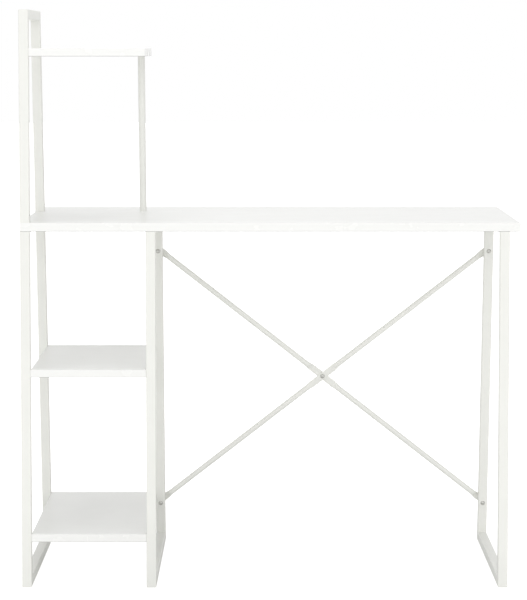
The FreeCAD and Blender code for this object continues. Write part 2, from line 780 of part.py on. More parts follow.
shelf_bolt = frame_bolt("shelf_bolt", "Sizes.tube_wall + Sizes.insert_length")
insert = new_body("insert")
insert_section = new_sketch(insert, "XY_Plane")
circle(insert_section, "0", "0", "Sizes.insert_diameter")
circle(insert_section, "0", "0", "Layout.nut_bore")
pad(insert, insert_section, "Sizes.insert_length")

shelf_ends = (
    ("bottom", "left"),
    ("bottom", "right"),
    ("middle", "left"),
    ("middle", "right"),
    ("top", "left"),
)
bolt_places = []
insert_places = []
for level, end in shelf_ends:
    z = SHELF_MIDDLES[level]
    for y in ("Layout.front_leg_line", leg_line(z)):
        if end == "left":
            bolt_places.append(("Layout.bay_left - Sizes.tube_wall", y, z, TO_RIGHT))
            insert_places.append(("Layout.bay_left", y, z, TO_RIGHT))
        else:
            bolt_places.append(("Layout.bay_right + Sizes.tube_wall", y, z, TO_LEFT))
            insert_places.append(("Layout.bay_right", y, z, TO_LEFT))
group("shelf_bolts", shelf_bolt, bolt_places)
group("shelf_inserts", insert, insert_places)

screw_length = "Sizes.bar_thickness + Sizes.screw_bite"
desktop_screw = flat_bolt(
    "desktop_screw",
    "Sizes.screw_diameter",
    "Sizes.screw_head_diameter",
    "Sizes.screw_head_height",
    screw_length,
)
group("desktop_screws", desktop_screw, [(x, y, LEG_TOP, UPRIGHT) for x, y in desktop_screws])

brace_bolt_length = "Sizes.tube_size + Sizes.flat_thickness + Sizes.nut_height + Sizes.bolt_spare"
brace_bolt = frame_bolt("brace_bolt", brace_bolt_length, dome_bolt)
centre_bolt_length = "2 * Sizes.flat_thickness + Sizes.nut_height + Sizes.bolt_spare"
centre_bolt = frame_bolt("centre_bolt", centre_bolt_length, dome_bolt)
nut = new_body("nut")
nut_section = new_sketch(nut, "XY_Plane")
hexagon(nut_section, "Sizes.nut_size")
circle(nut_section, "0", "0", "Layout.nut_bore")
pad(nut, nut_section, "Sizes.nut_height")

brace_corners = [(FRAMES[side], height) for side in ("middle", "right") for height in BRACE_BOLTS]
leg_front = "-Sizes.tube_size / 2"
leg_back = "Sizes.tube_size / 2 + Sizes.flat_thickness"
brace_middle = ("(Layout.middle_frame + Layout.right_frame) / 2", "Layout.brace_height")
crossing_front = "Layout.brace_axis - Sizes.flat_thickness"
crossing_back = "Layout.brace_axis + Sizes.flat_thickness"
group("brace_bolts", brace_bolt, [through_leg(*place, leg_front) for place in brace_corners])
group("brace_centre_bolt", centre_bolt, [through_leg(*brace_middle, crossing_front)])
nut_places = [through_leg(*place, leg_back) for place in brace_corners]
nut_places.append(through_leg(*brace_middle, crossing_back))
group("brace_nuts", nut, nut_places)

head_radius = "Sizes.countersunk_head_diameter / 2"
shank_radius = "Sizes.countersunk_diameter / 2"
countersunk_outline = (
    ("0", "0"),
    (head_radius, "0"),
    (shank_radius, f"{head_radius} - {shank_radius}"),
    (shank_radius, "Sizes.countersunk_length"),
    ("0", "Sizes.countersunk_length"),
)
countersunk_bolt = turned_body("countersunk_bolt", countersunk_outline)
cut_socket(countersunk_bolt, "0")
upright_bolt_places = (
    ("Layout.upright_place", foot_middle, FRAME_TOP, UPRIGHT),
    ("Layout.upright_place", head_middle, "Layout.top_shelf_height", "rotationx(180)"),
)
group("upright_bolts", countersunk_bolt, upright_bolt_places)


# Spigots welded into the left loop's bar hold the upper loop, which grub screws lock on them

plug_half = "(Layout.tube_bore / 2 - Sizes.plug_clearance)"


def foot_plug(name, slope, y):
    """Make the drilled plug in the foot of a post that leans by the slope."""
    body = new_body(name, "Layout.left_frame", y, "Sizes.desk_height")
    side = new_sketch(body, "YZ_Plane")
    half = f"({plug_half} * sqrt(1 + ({slope}) ^ 2))"
    shift = f"({slope} * Sizes.post_plug_height / 2)"
    corners = (
        (f"{shift} - {half}", "0"),
        (f"{shift} + {half}", "0"),
        (f"-{shift} + {half}", "Sizes.post_plug_height"),
        (f"-{shift} - {half}", "Sizes.post_plug_height"),
    )
    polygon(side, corners)
    pad(body, side, f"2 * {plug_half}", middle=True)
    fit = "Sizes.spigot_diameter + Sizes.thread_gap"
    bore(body, "XY_Plane", [("0", "0")], fit, depth="Sizes.post_plug_height", forward=True)
    bore(body, "YZ_Plane", [("0", "Sizes.post_plug_height / 2")], lock_hole, forward=True)
    return keep(body, name)


foot_plug("front_post_plug", "0", "Layout.front_leg_line")
foot_plug("rear_post_plug", "Layout.slope", spigot_rear)

spigot = doc.addObject("Part::Cylinder", "spigot")
spigot.setExpression("Radius", "Sizes.spigot_diameter / 2")
spigot.setExpression("Height", "Sizes.bar_thickness + Sizes.desktop_thickness + Sizes.spigot_rise")
group("post_spigots", spigot, [(x, y, LEG_TOP, UPRIGHT) for x, y in spigots])

lock_length = "(Sizes.tube_size - Sizes.spigot_diameter) / 2"
lock_screw = new_body("lock_screw")
lock_section = new_sketch(lock_screw, "XY_Plane")
circle(lock_section, "0", "0", "Sizes.lock_screw_diameter")
pad(lock_screw, lock_section, lock_length)
cut_socket(lock_screw, "0")
lock_places = [("Layout.bay_left", y, "Layout.plug_middle", TO_LEFT) for x, y in spigots]
group("post_lock_screws", lock_screw, lock_places)

# Check every object, then write one file for each node
doc.recompute()
for item in doc.Objects:
    if "Invalid" in item.State or "Error" in item.State:
        raise RuntimeError(f"{item.Name} failed: {item.State}")
for cut in doc.findObjects("PartDesign::Pocket"):
    if cut.Shape.Volume >= cut.BaseFeature.Shape.Volume:
        raise RuntimeError(f"{cut.Name} removes nothing")
for node in nodes:
    if node.Shape.isNull() or not node.Shape.isValid():
        raise RuntimeError(f"{node.Label} has no valid shape")
    node.Shape.exportStep(f"parts/{node.Label}.step")
print(f"{len(nodes)} nodes written")
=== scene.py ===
# %% [markdown]
# A white writing desk with a shelving unit gets its finish here. Its boards, tubes and fasteners
# arrive already modelled at their real size, each at its place, with the origin on the floor and
# Z up. A maker would now paint, laminate and plate them, so most of the work is in materials.
# A few forms come from a press, a saw or a welding torch, and those are modelled below.
# The box round all the pieces is noted first, because the finished desk may not grow out of it.

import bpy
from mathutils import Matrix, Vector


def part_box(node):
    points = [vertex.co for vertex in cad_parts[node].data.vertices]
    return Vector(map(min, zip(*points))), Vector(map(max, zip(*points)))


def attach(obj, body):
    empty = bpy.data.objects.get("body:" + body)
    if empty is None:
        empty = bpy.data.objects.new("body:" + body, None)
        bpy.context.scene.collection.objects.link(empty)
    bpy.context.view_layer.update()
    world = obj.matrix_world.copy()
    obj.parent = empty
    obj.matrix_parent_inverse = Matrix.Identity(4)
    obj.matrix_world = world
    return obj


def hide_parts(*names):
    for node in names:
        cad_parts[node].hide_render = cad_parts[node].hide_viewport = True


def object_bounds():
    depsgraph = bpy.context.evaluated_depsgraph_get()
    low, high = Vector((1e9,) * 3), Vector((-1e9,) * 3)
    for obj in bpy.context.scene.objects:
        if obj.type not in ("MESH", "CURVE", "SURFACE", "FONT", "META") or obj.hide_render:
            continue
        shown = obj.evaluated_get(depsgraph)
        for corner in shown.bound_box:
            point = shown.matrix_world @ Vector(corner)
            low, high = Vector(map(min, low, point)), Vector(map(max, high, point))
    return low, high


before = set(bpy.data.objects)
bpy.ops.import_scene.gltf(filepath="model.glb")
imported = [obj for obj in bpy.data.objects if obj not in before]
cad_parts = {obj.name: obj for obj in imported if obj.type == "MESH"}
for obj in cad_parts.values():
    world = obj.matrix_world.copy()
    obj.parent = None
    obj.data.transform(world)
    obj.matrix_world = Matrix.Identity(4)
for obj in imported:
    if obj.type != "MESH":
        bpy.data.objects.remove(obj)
cad_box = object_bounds()
print(f"{len(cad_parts)} pieces, from {tuple(cad_box[0])} to {tuple(cad_box[1])}")

# %% [markdown]
# Blender works in metres, but a furniture maker thinks in millimetres, so every size below is
# written as a count of MM. A finished shape becomes an object with one helper. It turns the faces
# outwards, keeps edges sharper than a chosen angle crisp and smooths the rest, which is how
# pressed, sawn and welded metal looks. The object stays at the origin, with its place in its mesh.
# A second helper draws out a ring of edges into a stretch of tube, since every new form is a tube.

# %% Helpers for new pieces
import bmesh
import bpy
import math
from mathutils import Matrix, Vector

MM = 0.001
MERGE = 0.001 * MM
SHARP = math.radians(38)


def add_to_scene(name, data):
    """Put a mesh, a lamp or a camera into the scene."""
    item = bpy.data.objects.new(name, data)
    bpy.context.scene.collection.objects.link(item)
    return item


def make_piece(name, shape, material, replaced=(), sharp=SHARP):
    """Turn a finished shape into a piece of the desk."""
    bmesh.ops.recalc_face_normals(shape, faces=shape.faces)
    mesh = bpy.data.meshes.new(name)
    shape.to_mesh(mesh)
    shape.free()
    mesh.polygons.foreach_set("use_smooth", [True] * len(mesh.polygons))
    mesh.set_sharp_from_angle(angle=sharp)
    mesh.materials.append(material)
    piece = add_to_scene(name, mesh)
    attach(piece, "root")
    if replaced:
        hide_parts(*replaced)
    print(f"{name}: {len(mesh.polygons)} faces")


def draw_out(shape, ring, move):
    """Extrude a ring of edges by a move, and give the points and edges of its new end."""
    made = bmesh.ops.extrude_edge_only(shape, edges=ring)["geom"]
    points = [item for item in made if isinstance(item, bmesh.types.BMVert)]
    bmesh.ops.translate(shape, verts=points, vec=move)
    edges = [item for item in made if isinstance(item, bmesh.types.BMEdge)
             and all(point in points for point in item.verts)]
    return points, edges


# %% [markdown]
# The rear legs lean forward, and much on the desk leans with them: the bolts through them, the
# crossed brace and the thin upright. Their slope is read from two pieces of the frame, the floor
# rail, which reaches the foot of the slope, and the top rail, which reaches its head.

# %% Read the slope of the rear legs
floor_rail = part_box("left_base_rail")
head_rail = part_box("upper_top_rail")
TUBE = floor_rail[1].z - floor_rail[0].z
SLOPE = (floor_rail[1].y - head_rail[1].y) / head_rail[1].z
LEAN = math.atan(SLOPE)
BACKWARD = Vector((0, math.cos(LEAN), math.sin(LEAN)))


def leg_back(height):
    """Give the Y of the rear legs' back faces at a height."""
    return floor_rail[1].y - SLOPE * height


def leg_front(height):
    """Give the Y of the rear legs' front faces at a height."""
    return leg_back(height) - TUBE / math.cos(LEAN)


print(f"the tubes are {TUBE / MM:.1f} mm square,"
      f" and the rear legs lean {math.degrees(LEAN):.2f} degrees")

# %% [markdown]
# A finish is a small tree of nodes. Each begins with a shader and the piece's own coordinates, and
# its clouds, gloss and bumps come from noises that are read at those coordinates. An image would be
# simpler, but it blurs in close views, and noise is fine at any distance. The helpers below add one
# node each and hand on its result, so that a finish reads as a list of what its surface does.

# %% Nodes for any finish
NOISE_LOW = 0.25
NOISE_HIGH = 0.75


def start_finish(name, colour, roughness):
    """Make a material whose first nodes are its shader and the piece's own coordinates."""
    material = bpy.data.materials.new(name)
    material.use_nodes = True
    tree = material.node_tree
    shader = tree.nodes["Principled BSDF"]
    shader.inputs["Base Color"].default_value = (*colour, 1)
    shader.inputs["Roughness"].default_value = roughness
    place = tree.nodes.new("ShaderNodeTexCoord")
    return material, tree, shader, place.outputs["Object"]


def noise(tree, place, size, detail=2.0):
    """Add a noise whose blotches are about as wide as a size in metres."""
    texture = tree.nodes.new("ShaderNodeTexNoise")
    texture.inputs["Scale"].default_value = 1 / size
    texture.inputs["Detail"].default_value = detail
    tree.links.new(place, texture.inputs["Vector"])
    return texture.outputs["Fac"]


def reckon(tree, operation, *values):
    """Add a sum of numbers and sockets to a node tree."""
    node = tree.nodes.new("ShaderNodeMath")
    node.operation = operation
    for socket, value in zip(node.inputs, values):
        if isinstance(value, bpy.types.NodeSocket):
            tree.links.new(value, socket)
        else:
            socket.default_value = value
    return node.outputs[0]


def spread(tree, value, low, high, socket=None):
    """Stretch the middle half of a noise between two values, and drive a socket with it."""
    ramp = tree.nodes.new("ShaderNodeMapRange")
    ramp.inputs["From Min"].default_value = NOISE_LOW
    ramp.inputs["From Max"].default_value = NOISE_HIGH
    ramp.inputs["To Min"].default_value = low
    ramp.inputs["To Max"].default_value = high
    tree.links.new(value, ramp.inputs["Value"])
    if socket:
        tree.links.new(ramp.outputs["Result"], socket)
    return ramp.outputs["Result"]


def blend(tree, share, *colours):
    """Mix two colours, each given as numbers or as a socket, by a share from 0 to 1."""
    mix = tree.nodes.new("ShaderNodeMix")
    mix.data_type = "RGBA"
    for socket, colour in zip([socket for socket in mix.inputs if socket.type == "RGBA"], colours):
        if isinstance(colour, bpy.types.NodeSocket):
            tree.links.new(colour, socket)
        else:
            socket.default_value = (*colour, 1)
    tree.links.new(share, mix.inputs[0])
    return [socket for socket in mix.outputs if socket.type == "RGBA"][0]


def tint(tree, value, dark, light, shader):
    """Drive the colour of a shader between two colours by a noise."""
    tree.links.new(blend(tree, value, dark, light), shader.inputs["Base Color"])


def raise_bumps(tree, value, shader, depth, strength, under=None):
    """Raise a surface by a noise, over another layer of bumps where one is given."""
    bump = tree.nodes.new("ShaderNodeBump")
    bump.inputs["Distance"].default_value = depth
    bump.inputs["Strength"].default_value = strength
    tree.links.new(value, bump.inputs["Height"])
    if under:
        tree.links.new(under.outputs["Normal"], bump.inputs["Normal"])
    tree.links.new(bump.outputs["Normal"], shader.inputs["Normal"])
    return bump


# %% [markdown]
# The frame is powder-coated steel. The powder melts in the oven and freezes with a faint orange
# peel, ripples about three millimetres across and some hundredths deep, with the finer grain of
# the powder on them. The coat lies a little thicker in some places than in others, which changes
# its tint and its gloss. A flat white would show none of this, and would look like plastic.

# %% Powder coat
COAT_DARK = (0.802, 0.805, 0.768)
COAT_LIGHT = (0.848, 0.850, 0.812)
COAT_ROUGHNESS = 0.36


def powder_coat():
    """Make the paint of all tubes and bars."""
    material, tree, shader, place = start_finish("powder_coat", COAT_LIGHT, COAT_ROUGHNESS)
    clouds = noise(tree, place, size=60 * MM)
    tint(tree, clouds, COAT_DARK, COAT_LIGHT, shader)
    patches = noise(tree, place, size=25 * MM)
    spread(tree, patches, low=0.32, high=0.42, socket=shader.inputs["Roughness"])
    ripples = noise(tree, place, size=3 * MM)
    peel = raise_bumps(tree, ripples, shader, depth=0.02 * MM, strength=0.4)
    grain = noise(tree, place, size=0.8 * MM)
    raise_bumps(tree, grain, shader, depth=0.002 * MM, strength=0.4, under=peel)
    return material


coat = powder_coat()
print(f"the powder coat takes {len(coat.node_tree.nodes)} nodes")

# %% [markdown]
# The boards are chipboard under white melamine. The press plate leaves a fine pearl in the resin,
# much shallower than the orange peel of the paint, on slow waves that only a reflection shows, and
# a slow change of gloss where hands and cloths have passed. The narrow sides carry an edge band, a
# thin strip of smoother white. It is glued on and trimmed, so a hairline runs round the board just
# inside its sides. A darker line along the lower corner of the sides is painted shade. An image of
# a board would be blurred here too, so the band is found by sums on the place of each point: how
# far it is from the nearest side, and how high above the underside.

# %% Melamine with an edge band
BOARDS = ("desktop", "top_shelf", "middle_shelf", "bottom_shelf")
BOARD_DARK = (0.837, 0.840, 0.820)
BOARD_LIGHT = (0.870, 0.872, 0.852)
BOARD_ROUGHNESS = 0.33
BAND_WHITE = (0.872, 0.874, 0.856)
BAND_GLOSS = -0.08
BAND_THICKNESS = 0.9 * MM
HAIRLINE = 0.2 * MM
HAIRLINE_GREY = (0.66, 0.66, 0.64)
# Painted shade: a darker grey line along the lower corner of every side of a board.
SHADE_LINE_HEIGHT = 0.7 * MM
SHADE_LINE_GREY = (0.36, 0.355, 0.34)


def inside_edge(tree, split, low, high):
    """Measure how far a point is from the nearest side of its board."""
    nearest = 1
    for axis in (0, 1):
        for corner, inwards in ((low, 1), (high, -1)):
            start = -inwards * corner[axis]
            gap = reckon(tree, "MULTIPLY_ADD", split.outputs[axis], inwards, start)
            nearest = reckon(tree, "MINIMUM", nearest, gap)
    return nearest


def melamine(board):
    """Make the finish of one board."""
    low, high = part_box(board)
    material, tree, shader, place = start_finish(f"{board}_melamine", BOARD_LIGHT, BOARD_ROUGHNESS)
    split = tree.nodes.new("ShaderNodeSeparateXYZ")
    tree.links.new(place, split.inputs[0])
    edge = inside_edge(tree, split, low, high)
    band = reckon(tree, "LESS_THAN", edge, BAND_THICKNESS)
    hairline = reckon(tree, "COMPARE", edge, BAND_THICKNESS, HAIRLINE / 2)
    low_corner = reckon(tree, "LESS_THAN", split.outputs["Z"], low.z + SHADE_LINE_HEIGHT)
    # Painted shade: the band's lowest strip is coloured darker, standing in for the shade under the
    # board's edge.
    painted_shade_line = reckon(tree, "MULTIPLY", band, low_corner)
    clouds = noise(tree, place, size=90 * MM, detail=4)
    colour = blend(tree, clouds, BOARD_DARK, BOARD_LIGHT)
    colour = blend(tree, band, colour, BAND_WHITE)
    colour = blend(tree, hairline, colour, HAIRLINE_GREY)
    colour = blend(tree, painted_shade_line, colour, SHADE_LINE_GREY)
    tree.links.new(colour, shader.inputs["Base Color"])
    gloss = spread(tree, noise(tree, place, size=40 * MM, detail=3), low=0.29, high=0.38)
    gloss = reckon(tree, "MULTIPLY_ADD", band, BAND_GLOSS, gloss)
    tree.links.new(gloss, shader.inputs["Roughness"])
    grain = noise(tree, place, size=1.2 * MM, detail=3)
    pearl = raise_bumps(tree, grain, shader, depth=0.003 * MM, strength=0.4)
    waves = noise(tree, place, size=14 * MM)
    raise_bumps(tree, waves, shader, depth=0.012 * MM, strength=0.2, under=pearl)
    return material


board_finishes = {board: melamine(board) for board in BOARDS}
print(f"{len(board_finishes)} boards have melamine, each with its own edge band")

# %% [markdown]
# Bolts, screws, nuts and spigots are steel with a bright zinc plating. It mirrors the studio, so a
# round head shows a bright middle inside a dark ring, where it reflects the dim sides. Barrel
# plating is clean but not polished, and fine, dull specks in the gloss keep it from looking wet.
# The plugs in the tubes' ends are moulded nylon, matt and a little greyer than the paint.

# %% Zinc plating and white nylon
ZINC_DARK = (0.50, 0.50, 0.475)
ZINC_LIGHT = (0.68, 0.68, 0.655)
ZINC_ROUGHNESS = 0.2
NYLON_DARK = (0.78, 0.78, 0.765)
NYLON_LIGHT = (0.84, 0.84, 0.83)
NYLON_ROUGHNESS = 0.5


def zinc_plate():
    """Make the finish of the steel fasteners."""
    material, tree, shader, place = start_finish("zinc_plate", ZINC_LIGHT, ZINC_ROUGHNESS)
    shader.inputs["Metallic"].default_value = 1
    tint(tree, noise(tree, place, size=1.5 * MM, detail=3), ZINC_DARK, ZINC_LIGHT, shader)
    specks = noise(tree, place, size=0.8 * MM)
    spread(tree, specks, low=0.14, high=0.26, socket=shader.inputs["Roughness"])
    raise_bumps(tree, noise(tree, place, size=0.3 * MM), shader, depth=0.005 * MM, strength=0.2)
    return material


def nylon():
    """Make the finish of the plugs."""
    material, tree, shader, place = start_finish("white_nylon", NYLON_LIGHT, NYLON_ROUGHNESS)
    tint(tree, noise(tree, place, size=8 * MM), NYLON_DARK, NYLON_LIGHT, shader)
    patches = noise(tree, place, size=5 * MM)
    spread(tree, patches, low=0.42, high=0.55, socket=shader.inputs["Roughness"])
    raise_bumps(tree, noise(tree, place, size=0.5 * MM), shader, depth=0.01 * MM, strength=0.25)
    return material


zinc = zinc_plate()
plastic = nylon()
print(f"zinc takes {len(zinc.node_tree.nodes)} nodes"
      f" and nylon {len(plastic.node_tree.nodes)}")

# %% [markdown]
# Each piece of the frame now gets the finish of its own material, because a desk that is painted
# in one go looks like a toy. The boards have one finish each, since the band follows their sides.
# Steel and nylon pieces are named, and everything else is a tube or a bar and takes the paint.

# %% Dress the pieces of the frame
PLASTIC_NODES = ("upright_end_plugs", "front_post_plug", "rear_post_plug")
STEEL_NODES = (
    "shelf_bolts",
    "shelf_inserts",
    "desktop_screws",
    "brace_bolts",
    "brace_centre_bolt",
    "brace_nuts",
    "upright_bolts",
    "post_spigots",
    "post_lock_screws",
)
finishes = {
    **board_finishes,
    **dict.fromkeys(STEEL_NODES, zinc),
    **dict.fromkeys(PLASTIC_NODES, plastic),
}
for name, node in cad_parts.items():
    node.data.materials.clear()
    node.data.materials.append(finishes.get(name, coat))
painted = len(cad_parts) - len(finishes)
print(f"{len(BOARDS)} boards, {len(STEEL_NODES)} steel and {len(PLASTIC_NODES)} nylon pieces,"
      f" and {painted} painted ones")

# %% [markdown]
# Behind the knee space two thin tubes cross. They are made again below, and first their bolts have
# to be found. The nuts of the frame tell where those are: each nut is even about its middle, so
# the middle of its box is on the bolt's line. Four sit at the corners and one where the tubes
# cross. Two opposite corners give a tube's length, and two nuts on one leg give its climb.

# %% Find the brace bolts from their nuts
FLAT_THICKNESS = 3 * MM
NUT_HEIGHT = 5 * MM


def middles(node):
    """Give the middle of each separate solid in a node."""
    shape = bmesh.new()
    shape.from_mesh(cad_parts[node].data)
    bmesh.ops.remove_doubles(shape, verts=shape.verts, dist=MERGE)
    seen = set()
    places = []
    for start in shape.verts:
        if start in seen:
            continue
        seen.add(start)
        solid = [start]
        for point in solid:
            neighbours = [edge.other_vert(point) for edge in point.link_edges]
            solid += [other for other in neighbours if other not in seen]
            seen.update(neighbours)
        lowest = Vector([min(point.co[axis] for point in solid) for axis in range(3)])
        highest = Vector([max(point.co[axis] for point in solid) for axis in range(3)])
        places.append((lowest + highest) / 2)
    shape.free()
    return places


def by_height(places):
    """Sort places from the lowest to the highest."""
    return sorted(places, key=lambda place: place.z)


nuts = middles("brace_nuts")
average = sum(nuts, Vector()) / len(nuts)
centre_nut = min(nuts, key=lambda place: (place - average).length)
corner_nuts = [place for place in nuts if place is not centre_nut]
brace_middle = sum(corner_nuts, Vector()) / len(corner_nuts)
brace_middle -= BACKWARD * (NUT_HEIGHT + FLAT_THICKNESS) / 2
lower_right, upper_right = by_height(place for place in corner_nuts if place.x > average.x)
lower_left = by_height(place for place in corner_nuts if place.x < average.x)[0]
brace_line = upper_right - lower_left
BRACE_HALF = brace_line.length / 2
SWING = math.asin((upper_right - lower_right).length / brace_line.length)
print(f"each brace tube is {2 * BRACE_HALF / MM:.0f} mm between bolts,"
      f" swung {math.degrees(SWING):.1f} degrees")

# %% [markdown]
# The brace's tubes are round, but pressed flat at both ends and, over a longer stretch, where they
# cross. As the tube gets thinner between the dies, it gets wider. A loft from a circle to a flat
# shape is one way to make it, but it gives one even slope, and the eye misses the soft start and
# stop of pressed steel. So each tube is made as in the workshop: a circle is drawn out into a round
# tube, and then its points move as the dies push them, each keeping its share of the way round.
# Last, the holes for the bolts are punched through the flats.

# %% Press the brace's tubes
BRACE_RADIUS = 6 * MM
END_FLAT = 16 * MM
CENTRE_FLAT = 30 * MM
PRESS_LENGTH = 14 * MM
FLAT_WIDTH = 15.5 * MM
TAB_RADIUS = 8.5 * MM
BOLT_HOLE = 3.3 * MM
SIDES = 32
PRESS_STEP = 1.75 * MM
RUN_STEPS = 12
TIP_STEPS = 7
TIP_TURN = math.radians(84)
QUARTER = math.pi / 2


def eased(share):
    """Turn a share of the way into a soft start and a soft stop."""
    share = max(0, min(1, share))
    return share * share * (3 - 2 * share)


def press_at(distance):
    """Give how flat the tube is at a distance from its middle, from 0, round, to 1, flat."""
    from_centre = abs(distance) - CENTRE_FLAT
    from_end = BRACE_HALF - END_FLAT - abs(distance)
    return 1 - eased(min(from_centre, from_end) / PRESS_LENGTH)


def pressed(point, rise):
    """Move a point of the round tube to where the die leaves it."""
    press = press_at(point.x)
    half = BRACE_RADIUS + (FLAT_THICKNESS / 2 - BRACE_RADIUS) * press
    straight = (FLAT_WIDTH - FLAT_THICKNESS) / 2 * press
    round_part = QUARTER * half
    quarter_share = math.atan2(abs(point.z), abs(point.y)) / QUARTER
    along_wall = quarter_share * (round_part + straight)
    if along_wall < round_part:
        turn = along_wall / half
        across = straight + half * math.cos(turn)
        up = half * math.sin(turn)
    else:
        across = straight - (along_wall - round_part)
        up = half
    past_bolt = abs(point.x) - BRACE_HALF
    if past_bolt > 0:
        across = min(across, math.sqrt(max(0, TAB_RADIUS**2 - past_bolt**2)))
    lift = rise * press if abs(point.x) < BRACE_HALF / 2 else 0
    return Vector((point.x, math.copysign(across, point.y), math.copysign(up, point.z) + lift))


def steps(start, end, step):
    """Give even places from a start up to, and without, an end, about a step apart."""
    count = max(1, round((end - start) / step))
    return [start + (end - start) * index / count for index in range(count)]


def half_tube_places():
    """Give the places of the rings from the tube's middle to one tip, close where it is pressed."""
    run_start = CENTRE_FLAT + PRESS_LENGTH
    run_end = BRACE_HALF - END_FLAT - PRESS_LENGTH
    places = steps(0, run_start, PRESS_STEP)
    places += steps(run_start, run_end, (run_end - CENTRE_FLAT) / RUN_STEPS)
    places += steps(run_end, BRACE_HALF, PRESS_STEP)
    tip_turns = [TIP_TURN * index / TIP_STEPS for index in range(TIP_STEPS + 1)]
    return places + [BRACE_HALF + TAB_RADIUS * math.sin(turn) for turn in tip_turns]


def punch(shape, place, radius):
    """Cut a round hole through both flats of a pressed tube."""
    def near(item, reach):
        return math.hypot(item.x - place, item.y) < reach

    gone = [face for face in shape.faces if near(face.calc_center_median(), radius)]
    bmesh.ops.delete(shape, geom=gone, context="FACES")
    rims = [edge for edge in shape.edges
            if edge.is_boundary and near(edge.verts[0].co, 2 * radius)]
    for point in {point for edge in rims for point in edge.verts}:
        outward = Vector((point.co.x - place, point.co.y, 0)).normalized() * radius
        point.co.x = place + outward.x
        point.co.y = outward.y
    bmesh.ops.bridge_loops(shape, edges=rims)


def close_ends(shape, sides):
    """Fill the open ends of tubes that have a number of sides."""
    open_edges = [edge for edge in shape.edges if edge.is_boundary]
    bmesh.ops.holes_fill(shape, edges=open_edges, sides=sides)


def press_tube(name, swing, rise):
    """Make one of the crossed tubes, its middle flat raised off the leaning plane by a rise."""
    half = half_tube_places()
    places = [-place for place in reversed(half)] + half[1:]
    shape = bmesh.new()
    bmesh.ops.create_circle(shape, segments=SIDES, radius=BRACE_RADIUS)
    bmesh.ops.rotate(shape, verts=shape.verts, matrix=Matrix.Rotation(math.pi / 2, 3, "Y"))
    bmesh.ops.translate(shape, verts=shape.verts, vec=(places[0], 0, 0))
    ring = list(shape.edges)
    for here, there in zip(places, places[1:]):
        _, ring = draw_out(shape, ring, (there - here, 0, 0))
    for point in shape.verts:
        point.co = pressed(point.co, rise)
    for place in (-BRACE_HALF, 0, BRACE_HALF):
        punch(shape, place, BOLT_HOLE)
    close_ends(shape, SIDES)
    turn = Matrix.Rotation(math.pi / 2 + LEAN, 4, "X") @ Matrix.Rotation(swing, 4, "Z")
    bmesh.ops.transform(shape, verts=shape.verts, matrix=Matrix.Translation(brace_middle) @ turn)
    make_piece(name, shape, coat, replaced=[name])


press_tube("front_brace_tube", SWING, FLAT_THICKNESS / 2)
press_tube("rear_brace_tube", -SWING, -FLAT_THICKNESS / 2)

# %% [markdown]
# The thin upright is a round tube that leans with the rear legs but is cut level at both ends, so
# that it seats flat on the desktop and under the shelf. Sawing is the honest way to get such
# ends: a tube longer than needed is made along the slope, and two level cuts trim it. The wall
# comes last.

# %% Saw the thin upright
UPRIGHT_SIDES = 48
UPRIGHT_WALL = 1 * MM


def saw_upright():
    """Make the thin upright in the box of the piece that it replaces."""
    low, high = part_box("shelf_upright")
    diameter = high.x - low.x
    middle = (low + high) / 2
    shape = bmesh.new()
    bmesh.ops.create_circle(shape, segments=UPRIGHT_SIDES, radius=diameter / 2)
    length = (high.z - low.z) / math.cos(LEAN) + 2 * diameter
    bmesh.ops.translate(shape, verts=shape.verts, vec=(0, 0, -length / 2))
    draw_out(shape, shape.edges[:], (0, 0, length))
    lean = Matrix.Translation(middle) @ Matrix.Rotation(LEAN, 4, "X")
    bmesh.ops.transform(shape, verts=shape.verts, matrix=lean)
    for level, side in ((low, (0, 0, -1)), (high, (0, 0, 1))):
        everything = shape.verts[:] + shape.edges[:] + shape.faces[:]
        bmesh.ops.bisect_plane(
            shape, geom=everything, plane_co=level, plane_no=side, clear_outer=True
        )
    bmesh.ops.recalc_face_normals(shape, faces=shape.faces)
    bmesh.ops.solidify(shape, geom=shape.faces[:], thickness=UPRIGHT_WALL)
    make_piece("shelf_upright", shape, coat, replaced=["shelf_upright"])


saw_upright()

# %% [markdown]
# The tubes are cut to mitres, welded, and ground flush where a hand or an eye would find the seam.
# Inside the corners the grinder can't reach, so the bead stays as the torch left it: a low ridge
# with even ripples, softened by the powder. Bumps on the coat would leave the corner empty when
# seen from the side, so each bead is a real ridge. A ring of points is drawn out across the tube in
# short steps, and every other ring is a little thinner. Half of the bead is sunk in the corner.

# %% Lay the weld beads
BEAD_RADIUS = 1.6 * MM
BEAD_SIDES = 12
BEAD_STEPS = 18
BEAD_INSET = 2.5 * MM
BEAD_HALF = TUBE / 2 - BEAD_INSET
BEAD_SHARP = math.radians(80)
RIPPLE = 0.12
TAPER = 0.6
TAPER_POWER = 6


def bead_thickness(step):
    """Give the share of the full thickness at a step: rippled, and thinner at both ends."""
    from_middle = abs(2 * step / BEAD_STEPS - 1)
    return (1 - TAPER * from_middle**TAPER_POWER) * (1 - RIPPLE * (step % 2))


def lay_bead(shape, x, y, z):
    """Draw out a bead across a tube, and thin each ring by its share of the thickness."""
    circle = bmesh.ops.create_circle(shape, segments=BEAD_SIDES, radius=BEAD_RADIUS)
    points = circle["verts"]
    turn = Matrix.Translation((x - BEAD_HALF, y, z)) @ Matrix.Rotation(math.pi / 2, 4, "Y")
    bmesh.ops.transform(shape, verts=points, matrix=turn)
    edges = list(dict.fromkeys(edge for point in points for edge in point.link_edges))
    rings = [points]
    for step in range(BEAD_STEPS):
        points, edges = draw_out(shape, edges, (2 * BEAD_HALF / BEAD_STEPS, 0, 0))
        rings.append(points)
    middle = Matrix.Translation((0, -y, -z))
    for step, points in enumerate(rings):
        share = bead_thickness(step)
        bmesh.ops.scale(shape, verts=points, vec=(1, share, share), space=middle)


